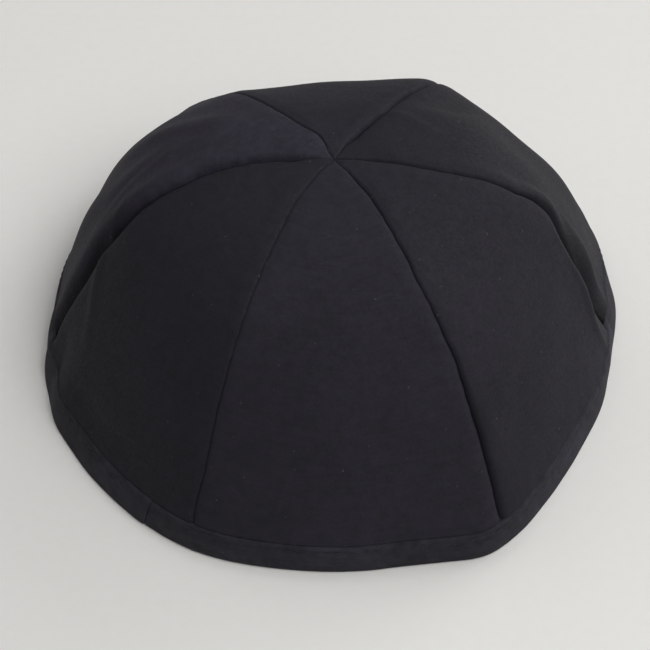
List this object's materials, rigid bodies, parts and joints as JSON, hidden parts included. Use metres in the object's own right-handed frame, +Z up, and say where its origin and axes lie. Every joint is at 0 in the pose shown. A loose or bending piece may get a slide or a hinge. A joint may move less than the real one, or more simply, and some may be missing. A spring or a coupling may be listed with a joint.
{
  "type": "kippah",
  "caption": "Soft domed skullcap of black woven cloth: gores meeting at a plain crown point above a narrow sewn rim band, resting on its rim.",
  "frame": {"origin": "middle of the rim's footprint, on the plane that the rim rests on", "axes": "+Z up through the crown, -Y towards the gore nearest the viewer in the picture, +X to the right in the picture"},
  "size_m": [0.1651, 0.1703, 0.0702],
  "materials": {
    "gore_cloth": "matt black closely woven polyester with a faint soft sheen",
    "band_cloth": "the same black woven polyester, folded double and pressed flat"
  },
  "bodies": {
    "root": {"gore_front": "gore_cloth", "gore_front_right": "gore_cloth", "gore_back_right": "gore_cloth", "gore_back": "gore_cloth", "gore_back_left": "gore_cloth", "gore_front_left": "gore_cloth", "rim_band": "band_cloth"}
  },
  "joints": []
}
